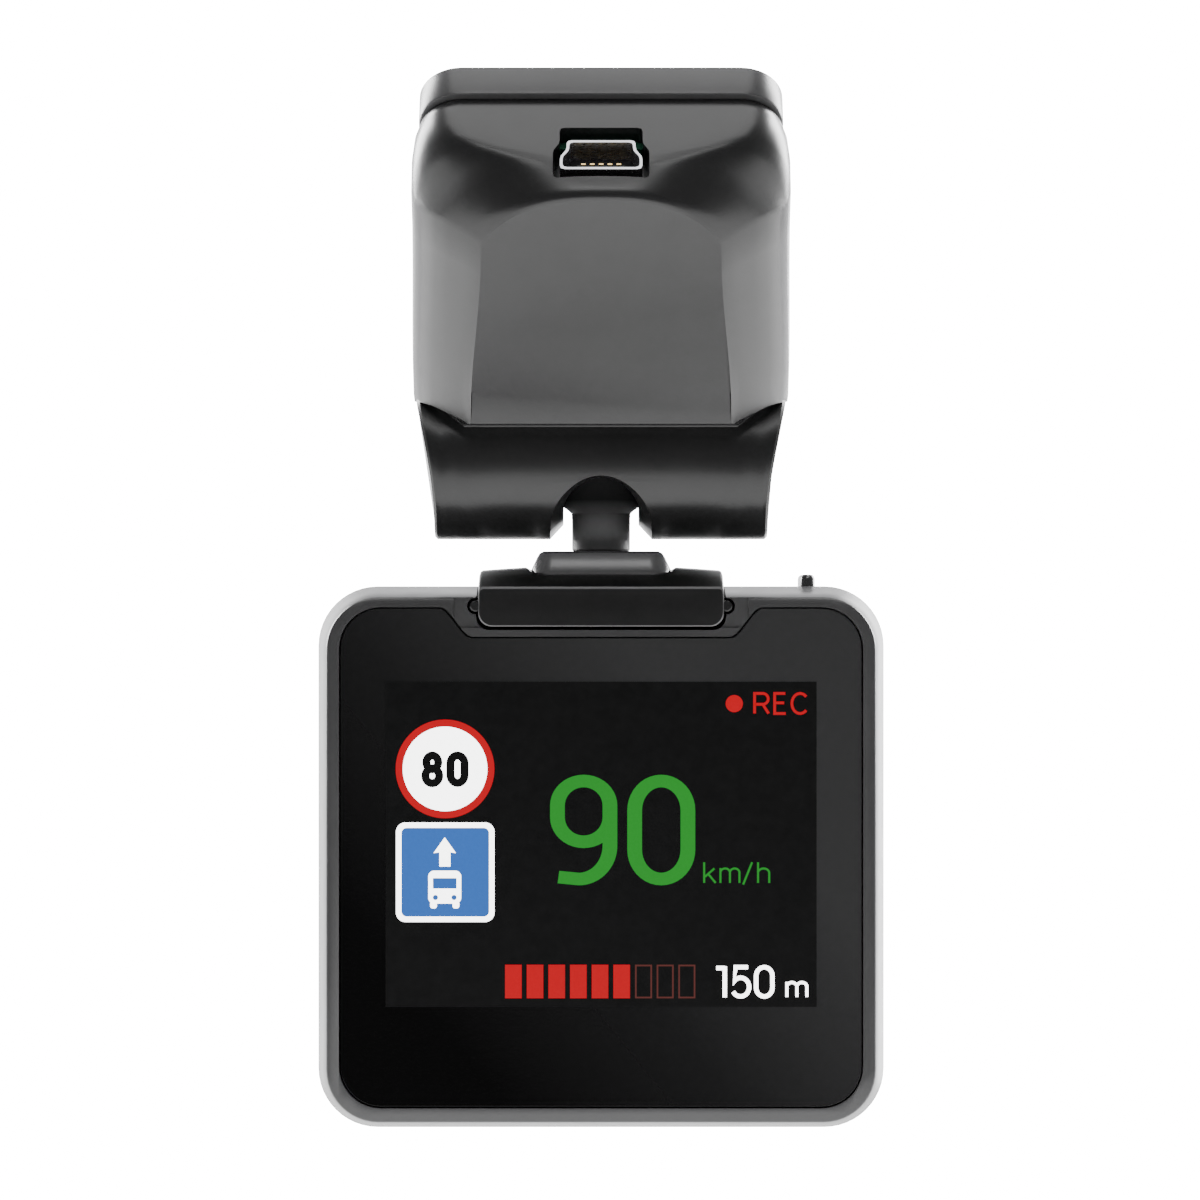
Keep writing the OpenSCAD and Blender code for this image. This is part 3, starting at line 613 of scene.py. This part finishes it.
def clip_ring(y, top, crown, inset=0.0):
    """The clip's section at one depth: rounded lower corners and a crowned top."""
    half, r = CLIP_HALF - inset, 1.25
    floor = CLIP_FLOOR + inset
    out = []
    for i in range(9):
        a = math.radians(-90 + 90 * i / 8)
        out.append((half - r + r * math.cos(a), floor + r + r * math.sin(a)))
    out.append((half, top - 0.5))
    out.append((half - 0.12, top - 0.12))
    for i in range(13):
        x = (half - 0.35) * (1 - i / 6)
        out.append((x, top + crown * (1 - (x / half) ** 2)))
    out.append((-half + 0.12, top - 0.12))
    out.append((-half, top - 0.5))
    for i in range(9):
        a = math.radians(180 + 90 * i / 8)
        out.append((-half + r + r * math.cos(a), floor + r + r * math.sin(a)))
    return [(x, y, z) for x, z in out]


def build_clip():
    rings = [clip_ring(-9.42, -12.68, 0, 0.12), clip_ring(-9.33, -12.46, 0, 0.03), clip_ring(-9.15, -12.37, 0),
             clip_ring(-7.0, -11.65, 0.25), clip_ring(-5.2, -11.1, 0.45), clip_ring(-4.2, -10.9, 0.5),
             clip_ring(5.0, -10.85, 0.5), clip_ring(7.6, -11.9, 0.3), clip_ring(7.95, -12.2, 0, 0.15)]
    clip = piece("clip_body", *loft(rings), at_ball, clip_mat)
    seat = [(-12.45, 5.65, 1.9), (-11.75, 5.75, 1.9), (-11.66, 6.85, 2.2), (-10.75, 7.0, 2.2),
            (-9.8, 8.2, 2.4)]
    rings = [[(x, y, z) for x, y in rounded(2 * half, 2 * half, r, n=6)] for z, half, r in seat]
    cut(clip, piece("seat_cut", *loft(rings), at_ball),
        piece("nut_cut", *layer(circle(3.6), -13.8, -12.0), at_ball),
        piece("block_cut", *layer([(-5.6, 1.8), (5.6, 1.8), (5.6, 6.0), (-5.6, 6.0)], -17, -13.75), at_ball))
    # painted highlight: the faces of the thin front chamfer take the lighter edge material
    clip.data.materials.append(clip_edge_highlight)
    for face in clip.data.polygons:
        if abs(face.center.y / MM - BALL.y + 9.375) < 0.04:
            face.material_index = 1
    settle(clip, "holder", ("holder_clip",), 30)
    for name, side in (("left", -1), ("right", 1)):
        rail = []
        for y, r in ((-9.35, 0.4), (-9.25, 0.52), (7.8, 0.52), (7.9, 0.42)):
            rail.append([(x, y, z) for x, z in circle(r, side * RAIL_X, RAIL_Z, 20)])
        piece(f"clip_rail_{name}", *loft(rail), at_ball, clip_mat, "holder", "charcoal")


# ---- camera body ----

def glass_outline(grow=0.0):
    """The cover glass: a rounded rectangle with an S-shouldered notch under the clip."""
    top, bottom, half, r = -14.45 + grow, -61.78 - grow, 24.75 + grow, 3.9 + grow
    floor, out, inn = -17.25 + grow, 15.3 - grow, 12.2 - grow
    pts = []
    for i in range(11):
        a = math.radians(90 * i / 10)
        pts.append((half - r + r * math.cos(a), top - r + r * math.sin(a)))
    for i in range(17):
        t = i / 16
        pts.append((out + (inn - out) * t, top + (floor - top) * smooth(t)))
    pts += [(-x, z) for x, z in pts[::-1]]
    for sx, a0 in ((-1, 180), (1, 270)):
        for i in range(11):
            a = math.radians(a0 + 90 * i / 10)
            pts.append((sx * (half - r) + r * math.cos(a), bottom + r + r * math.sin(a)))
    return pts


def body_ring(y, inset):
    """The camera body's outline at one depth."""
    outline = rounded(BODY_W - 2 * inset, BODY_H - 2 * inset, BODY_R - inset * 0.7, 0, BODY_Z, 12)
    return [(x, y, z) for x, z in outline]


def slot_outline():
    """The clip's slot with its two rail grooves."""
    right = [(11.82, -10.5), (11.82, -13.4)]
    for i in range(13):
        a = math.radians(92 - 184 * i / 12)
        right.append((RAIL_X + 0.78 * math.cos(a), RAIL_Z + 0.78 * math.sin(a)))
    for i in range(7):
        a = math.radians(-90 * i / 6)
        right.append((10.62 + 1.2 * math.cos(a), -15.36 + 1.2 * math.sin(a)))
    return right + [(-x, z) for x, z in right[::-1]]


def cuboid(name, x0, x1, y0, y1, z0, z1):
    return piece(name, *slab(box_outline(x0, x1, z0, z1), y0, y1), at_ball)


def build_bezel():
    steps = [(-3.02, 0.25), (-3.08, 0.05), (-3.3, 0.0), (-8.9, 1.05), (-9.12, 1.13), (-9.2, 1.25)]
    rings = [body_ring(y, inset) for y, inset in steps]
    recess = box_outline(-13.95, 13.95, -16.35, -13.45)
    bezel = piece("bezel_frame", *loft(rings), at_ball, bezel_mat)
    cut(bezel, piece("glass_cut", *slab(glass_outline(0.06), -10, -7.0), at_ball),
        piece("slot_cut", *slab(slot_outline(), -10, -2), at_ball),
        piece("recess_cut", *slab(recess, -10, -9.03), at_ball))
    soften(bezel, 0.07, 2, 42)
    settle(bezel, "camera", ("screen_bezel",), 0)
    glass = piece("front_glass", *slab(glass_outline(-0.06), -9.02, -8.0), at_ball, glass_mat)
    soften(glass, 0.1, 2, 50)
    settle(glass, "camera", ("cover_glass",), 0)


def build_case():
    steps = [(-2.98, 0.3), (-2.92, 0.06), (-2.7, 0.0), (9.3, 0.0), (10.2, 0.25), (10.9, 0.75), (11.3, 1.4),
             (11.48, 2.2), (BACK_Y, 2.8)]
    rings = [body_ring(y, inset) for y, inset in steps]
    case = piece("rear_case", *loft(rings), at_ball, case_mat)
    cutters = [piece("hollow_cut", *slab(rounded(50.4, 47.9, 3.6, 0, -37.95), -2, 9.9), at_ball),
               piece("slot_cut", *slab(slot_outline(), -4, 8.3), at_ball)]
    for x, z in CASE_SCREWS:
        cutters.append(piece("screw_cut", *slab(circle(1.8, x, z, 32), 8.1, 13), at_ball))
    for z in SIDE_KEYS.values():
        cutters.append(cuboid("key_cut", -BODY_SIDE, -24, -2.35, -0.05, z - 3.35, z + 3.35))
    cutters.append(cuboid("card_cut", 22.8, BODY_SIDE, -2.5, -1.1, -43.8, -32.2))
    cutters.append(cuboid("power_cut", 19.02, 20.72, -2.1, 5.3, -14.4, -11))
    for i in range(-3, 4):
        half = math.sqrt(max(0.1, 1 - (i / 4.2) ** 2)) * 4.6
        cutters.append(cuboid("grille_cut", 13 - half, 13 + half, 8, 13, -55.6 + i * 1.3, -55.0 + i * 1.3))
    for i in range(-4, 5):
        cutters.append(cuboid("vent_cut", i * 3 - 0.5, i * 3 + 0.5, 2, 7, -66, -61.3))
    cutters.append(piece("reset_cut", *lathe([(0, 0), (0.55, 0), (0.55, 5), (0, 5)], 20),
                         lambda x, y, z: at_ball(BODY_SIDE - z, SIDE_KEY_Y + y, -51 + x)))
    cutters.append(piece("mic_cut", *lathe([(0, 0), (0.5, 0), (0.5, 5), (0, 5)], 20),
                         lambda x, y, z: at_ball(-BODY_SIDE + z, 5.2 + y, -54 + x)))
    cutters.append(piece("lens_cut", *slab(circle(10, 0, LENS_Z, 64), 8, 14), at_ball))
    cut(case, *cutters)
    soften(case, 0.1, 2, 42)
    settle(case, "camera", ("lens_case",), 0)
    for name, y0, z0, z1 in (("slot_floor", -2.9, -17.6, -16.56), ("slot_back", 8.35, -16.5, -14.0)):
        wall = cuboid(name, -14.4, 14.4, y0, 9.8, z0, z1)
        wall.data.materials.append(case_mat)
        settle(wall, "camera", (), 30)


def on_back(x, y, z):
    """Stands a turned piece on the case's back, on the lens's axis."""
    return at_ball(x, BACK_Y + z, LENS_Z - y)


def build_lens():
    profile = [(9.9, -1.0), (9.9, 0.2), (13.2, 0.05), (13.4, 0.25), (13.4, 1.2), (13.15, 1.5), (12.6, 1.55),
               (12.4, 1.7)]
    for i in range(6):
        z = 1.9 + i * 0.42
        profile += [(12.4, z), (12.4, z + 0.2), (12.15, z + 0.26), (12.15, z + 0.36)]
    profile += [(12.4, 4.45), (12.35, 4.6), (11.75, 5.1), (11.7, 6.0), (11.05, 6.75), (11.0, 12.2),
                (10.75, 12.75), (10.3, 13.0), (9.2, 13.0), (8.95, 12.85)]
    for i in range(7):
        r, z = 8.8 - i * 0.18, 12.5 - i * 0.5
        profile += [(r, z), (r - 0.1, z - 0.05), (r - 0.1, z - 0.4)]
    profile += [(7.6, 9.0), (7.6, 8.2), (9.2, 8.1), (9.2, -1.0)]
    piece("lens_ring", *lathe(profile, 120), on_back, gloss_black,
          "camera", "gloss_black", ("lens_barrel",), 32)
    angles = [math.radians(a) for a in range(6, 90, 6)]
    dome = [(7.5, 6.6), (7.5, 6.95)]
    dome += [(7.5 * math.cos(a), 6.95 + 1.25 * math.sin(a)) for a in angles]
    dome.append((0, 8.2))
    piece("lens_front", *lathe(dome, 96), on_back, lens_mat, "camera", "lens_glass", ("lens_glass",), 60)


def key_rings(l, w, z0, z1, r_edge=0.25):
    """A key with round ends and a rounded top."""
    angles = [math.radians(-90 + 360 * (i + 0.5) / 32) for i in range(32)]
    straight = l / 2 - w / 2
    rings = []
    for drop, shrink in ((z1 - z0, 0.0), (r_edge, 0.0), (r_edge * 0.45, r_edge * 0.15),
                         (r_edge * 0.12, r_edge * 0.5), (0.0, r_edge)):
        r = w / 2 - shrink
        ring = []
        for a in angles:
            end = straight if math.cos(a) >= 0 else -straight
            ring.append((end + r * math.cos(a), r * math.sin(a), z1 - drop))
        rings.append(ring)
    return rings


def build_keys():
    piece("power_key_cap", *loft(key_rings(7.1, 1.42, -15.0, -11.26, 0.45)),
          lambda x, y, z: at_ball(POWER_X - y, POWER_Y + x, z), key_mat,
          "power_key", "charcoal", ("power_button",), 40)
    for name, z in SIDE_KEYS.items():
        piece(f"{name}_key_cap", *loft(key_rings(6.4, 2.0, -2.6, 0.0, 0.3)),
              lambda x, y, h, z=z: at_ball(-BODY_W / 2 - h, SIDE_KEY_Y + y, z + x), clip_mat,
              f"{name}_key", "charcoal", (f"{name}_button",), 40)


# ---- display ----

FACE = -9.03


def flat(name, outline, mat, lift=0.0, holes=()):
    """A thin lit shape on the glass."""
    y = FACE - 0.008 * lift
    obj = piece(name, *slab(outline, y - 0.01, y + 0.004), at_ball, mat)
    if holes:
        cut(obj, *[piece("hole", *slab(h, y - 0.1, y + 0.1), at_ball) for h in holes])
    settle(obj, "camera", (), 30)
    return obj


def arc(cx, cy, rx, ry, a0, a1, n=20):
    angles = [math.radians(a0 + (a1 - a0) * i / n) for i in range(n + 1)]
    return [(cx + rx * math.cos(a), cy + ry * math.sin(a)) for a in angles]


def pill(cx, cy, rx, ry, straight):
    """A closed upright loop with straight sides."""
    top = arc(cx, cy + straight, rx, ry - straight, 0, 180)
    bottom = arc(cx, cy - straight, rx, ry - straight, 180, 360)
    return top + bottom + [(cx + rx, cy + straight)]


# Strokes of each sign in a box 1 high; a loop ends where it starts.
GLYPHS = {
    "0": [pill(0.28, 0.5, 0.28, 0.5, 0.2)],
    "1": [[(0.0, 0.97), (0.3, 0.97)], [(0.3, 1.03), (0.3, -0.03)]],
    "5": [[(0.52, 1.0), (0.1, 1.0), (0.05, 0.5)] + arc(0.27, 0.32, 0.29, 0.32, 130, -150)],
    "8": [pill(0.28, 0.75, 0.24, 0.25, 0.0), pill(0.28, 0.26, 0.28, 0.27, 0.0)],
    "9": [pill(0.27, 0.69, 0.27, 0.31, 0.06),
          [(0.54, 0.7)] + arc(0.22, 0.34, 0.32, 0.34, 0, -90) + [(0.01, 0.02)]],
    "k": [[(0, 0), (0, 1)], [(0.5, 0.7), (0.04, 0.3)], [(0.2, 0.43), (0.56, 0)]],
    "m": [[(0, 0), (0, 0.72)], [(0, 0.5)] + arc(0.22, 0.5, 0.22, 0.2, 180, 0) + [(0.44, 0)],
          [(0.44, 0.5)] + arc(0.66, 0.5, 0.22, 0.2, 180, 0) + [(0.88, 0)]],
    "h": [[(0, 0), (0, 1)], [(0, 0.48)] + arc(0.25, 0.48, 0.25, 0.22, 180, 0) + [(0.5, 0)]],
    "/": [[(0, -0.08), (0.42, 1)]],
    "R": [[(0, 0), (0, 1), (0.36, 1)] + arc(0.36, 0.73, 0.24, 0.27, 90, -90) + [(0, 0.46)],
          [(0.36, 0.46), (0.62, 0)]],
    "E": [[(0.54, 1), (0, 1), (0, 0), (0.56, 0)], [(0, 0.53), (0.48, 0.53)]],
    "C": [arc(0.33, 0.5, 0.33, 0.5, 42, 318, 30)],
}


def band(points, wide):
    """A flat ribbon along a line of points, as left and right edges."""
    loop = (Vector(points[0]) - Vector(points[-1])).length < 1e-6
    pts = [Vector(p) for p in points]
    if loop:
        pts = pts[:-1]
    edges = []
    n = len(pts)
    for i, p in enumerate(pts):
        a = pts[i - 1] if loop or i > 0 else p
        b = pts[(i + 1) % n] if loop or i < n - 1 else p
        d1 = (p - a).normalized() if (p - a).length > 1e-9 else (b - p).normalized()
        d2 = (b - p).normalized() if (b - p).length > 1e-9 else d1
        d = (d1 + d2).normalized()
        side = Vector((-d.y, d.x)) * (wide / 2 / max(0.5, d.dot(d1)))
        edges.append((p + side, p - side))
    return edges, loop


def written(name, glyph, x0, x1, z0, z1, wide, mat, lift=1.0, flatten=1.0):
    """One number or letter in strokes that fill the box; level strokes may be thinner than upright ones."""
    strokes = GLYPHS[glyph]
    xs = [x for st in strokes for x, _ in st]
    kx = (x1 - x0 - wide) / max(0.01, max(xs) - min(xs))
    kz = z1 - z0 - wide * flatten
    y = FACE - 0.008 * lift - 0.01
    points, faces = [], []
    for st in strokes:
        line = []
        for x, v in st:
            line.append((x0 + wide / 2 + (x - min(xs)) * kx, (z0 + wide * flatten / 2 + v * kz) / flatten))
        edges, loop = band(line, wide)
        base = len(points)
        for a, b in edges:
            points += [(a.x, y, a.y * flatten), (b.x, y, b.y * flatten)]
        count = len(edges)
        for i in range(count if loop else count - 1):
            j = (i + 1) % count
            faces.append((base + 2 * i, base + 2 * j, base + 2 * j + 1, base + 2 * i + 1))
        y -= 0.0015
    piece(name, points, faces, at_ball, mat, "camera", "display", (), 0)


def build_display():
    flat("screen_area", box_outline(-20.4, 20.4, -52.24, -21.46), screen_mat, 0)
    flat("limit_sign_ring", circle(4.68, -14.77, -29.71, 72), red, 1)
    flat("limit_sign_face", circle(4.0, -14.77, -29.71, 72), white, 2)
    written("limit_eight", "8", -17.02, -14.93, -31.43, -28.05, 0.78, black_ink, 3)
    written("limit_zero", "0", -14.65, -12.53, -31.43, -28.05, 0.78, black_ink, 3)
    flat("lane_sign_edge", rounded(9.32, 9.42, 0.9, -14.75, -39.49), white, 1)
    flat("lane_sign_face", rounded(8.3, 8.4, 0.5, -14.75, -39.49), blue, 2)
    flat("lane_arrow", [(-15.31, -38.95), (-14.26, -38.95), (-14.26, -37.6), (-13.74, -37.68),
                        (-14.8, -36.19), (-15.86, -37.68), (-15.31, -37.6)], white, 3)
    flat("lane_bus", rounded(3.11, 3.11, 0.55, -14.8, -40.9), white, 3,
         [rounded(2.25, 1.0, 0.06, -14.8, -40.54, 3), circle(0.25, -15.68, -41.88, 20),
          circle(0.25, -13.92, -41.88, 20)])
    flat("bus_wheel_left", rounded(0.64, 0.7, 0.25, -15.86, -42.57, 5), white, 3)
    flat("bus_wheel_right", rounded(0.64, 0.7, 0.25, -13.74, -42.57, 5), white, 3)
    written("speed_nine", "9", -4.83, 1.54, -40.73, -30.26, 1.4, green, flatten=0.85)
    written("speed_zero", "0", 2.48, 8.92, -40.73, -30.26, 1.4, green, flatten=0.85)
    for name, glyph, x0, x1 in (("k", "k", 9.66, 10.95), ("m", "m", 11.2, 13.2), ("slash", "/", 13.35, 14.4),
                                ("h", "h", 14.76, 16.02)):
        written(f"speed_unit_{name}", glyph, x0, x1, -40.6, -38.45, 0.2, green)
    for i in range(9):
        x = -9.09 + 2.05 * i
        if i < 6:
            flat(f"range_bar_{i + 1}", box_outline(x, x + 1.58, -51.43, -48.24), red, 1)
        else:
            flat(f"range_bar_{i + 1}", box_outline(x, x + 1.62, -51.43, -48.24), dim_red, 1,
                 [box_outline(x + 0.16, x + 1.46, -51.27, -48.4)])
    for glyph, x0, x1 in (("1", 10.71, 11.91), ("5", 12.31, 14.22), ("0", 14.48, 16.42)):
        written(f"range_digit_{glyph}", glyph, x0, x1, -51.45, -48.28, 0.4, white)
    written("range_unit_m", "m", 17.45, 19.62, -51.43, -49.2, 0.28, white)
    flat("record_dot", circle(0.82, 12.61, -23.53, 32), red, 1)
    for glyph, x0, x1 in (("R", 14.4, 16.0), ("E", 16.3, 17.62), ("C", 17.93, 19.55)):
        written(f"record_{glyph}", glyph, x0, x1, -24.6, -22.43, 0.27, red)


# ---- the scene ----

build_mount()
build_ball()
build_foot()
build_clip()
build_bezel()
build_case()
build_lens()
build_keys()
build_display()

slots = {s["node"]: s["material_slot"] for s in frame["record"]["subparts"]}
for node_name, node in frame["nodes"].items():
    node.data.materials.clear()
    node.data.materials.append(BY_SLOT.get(slots[node_name], gloss_black))


def stage_plane(name, points, mat):
    mesh = bpy.data.meshes.new(name)
    mesh.from_pydata(points, [], [(0, 1, 2, 3)])
    mesh.materials.append(mat)
    obj = bpy.data.objects.new(name, mesh)
    bpy.context.scene.collection.objects.link(obj)


floor_mat = surface("pale_floor", (0.4, 0.4, 0.4), 0.8, spec=0.1, vary=0.01, patch=2, grit=30, bump=0.0)
floor_glow = floor_mat.node_tree.nodes["Principled BSDF"]
floor_glow.inputs["Emission Color"].default_value = (1, 1, 1, 1)
floor_glow.inputs["Emission Strength"].default_value = 1.2
floor_corners = [(-0.9, -0.36), (0.9, -0.36), (0.9, 0.5), (-0.9, 0.5)]
stage_plane("floor", [(x, y, FLOOR_Z) for x, y in floor_corners], floor_mat)


def softbox(name, place, aim, wide, high, power):
    data = bpy.data.lights.new(name, "AREA")
    data.shape = "RECTANGLE"
    data.size, data.size_y = wide, high
    data.energy = power
    lamp = bpy.data.objects.new(name, data)
    lamp.location = place
    lamp.rotation_mode = "QUATERNION"
    lamp.rotation_quaternion = (Vector(aim) - Vector(place)).to_track_quat("-Z", "Y")
    bpy.context.scene.collection.objects.link(lamp)


softbox("top_softbox", (0, -0.05, 0.9), (0, 0, 0), 0.9, 0.9, 6.4)
softbox("left_rim_light", (-0.8, 0.56, 0.34), (0, 0, 0), 0.5, 0.75, 38)
softbox("right_rim_light", (0.8, 0.56, 0.34), (0, 0, 0), 0.5, 0.75, 38)
softbox("front_top_strip", (0, -0.75, 0.75), (0, 0, -0.03), 0.6, 0.25, 2.4)
softbox("left_rear_strip", (-0.38, 1.2, 0.0), (0, 0, -0.04), 0.25, 1.0, 1.0)
softbox("right_rear_strip", (0.38, 1.2, 0.0), (0, 0, -0.04), 0.25, 1.0, 4.0)


def studio_world():
    """White all round, with a dark area at the height of the eye on the driver's side."""
    world = bpy.data.worlds.new("studio")
    bpy.context.scene.world = world
    world.use_nodes = True
    tree = world.node_tree
    tree.nodes.clear()
    out = tree.nodes.new("ShaderNodeOutputWorld")
    seen, cast = tree.nodes.new("ShaderNodeBackground"), tree.nodes.new("ShaderNodeBackground")
    seen.inputs["Color"].default_value = (1, 1, 1, 1)
    seen.inputs["Strength"].default_value = 20
    coord = tree.nodes.new("ShaderNodeTexCoord")
    dot = tree.nodes.new("ShaderNodeVectorMath")
    dot.operation = "DOT_PRODUCT"
    dot.inputs[1].default_value = Vector((0, -0.97, 0.24)).normalized()
    tree.links.new(coord.outputs["Generated"], dot.inputs[0])
    facing = tree.nodes.new("ShaderNodeMapRange")
    facing.inputs["From Min"].default_value = -1
    tree.links.new(dot.outputs["Value"], facing.inputs["Value"])
    shade = ramp(tree, facing.outputs[0], [(0.0, grey(1.0)), (0.06, grey(0.9)), (0.15, grey(0.3)),
                                           (0.3, grey(0.16)), (0.5, grey(0.1)), (0.8, grey(0.06)),
                                           (1.0, grey(0.05))])
    tree.links.new(shade, cast.inputs["Color"])
    cast.inputs["Strength"].default_value = 3
    path = tree.nodes.new("ShaderNodeLightPath")
    mix = tree.nodes.new("ShaderNodeMixShader")
    tree.links.new(path.outputs["Is Camera Ray"], mix.inputs[0])
    tree.links.new(cast.outputs[0], mix.inputs[1])
    tree.links.new(seen.outputs[0], mix.inputs[2])
    tree.links.new(mix.outputs[0], out.inputs[0])


studio_world()
camera = bpy.data.objects.new("camera", bpy.data.cameras.new("camera"))
camera.data.sensor_width = 36
camera.data.lens = 142.6
camera.data.clip_start = 0.05
camera.location = (-0.0001, -0.4537, -0.0332)
camera.rotation_euler = (math.radians(90), 0, 0)
bpy.context.scene.collection.objects.link(camera)
bpy.context.scene.camera = camera
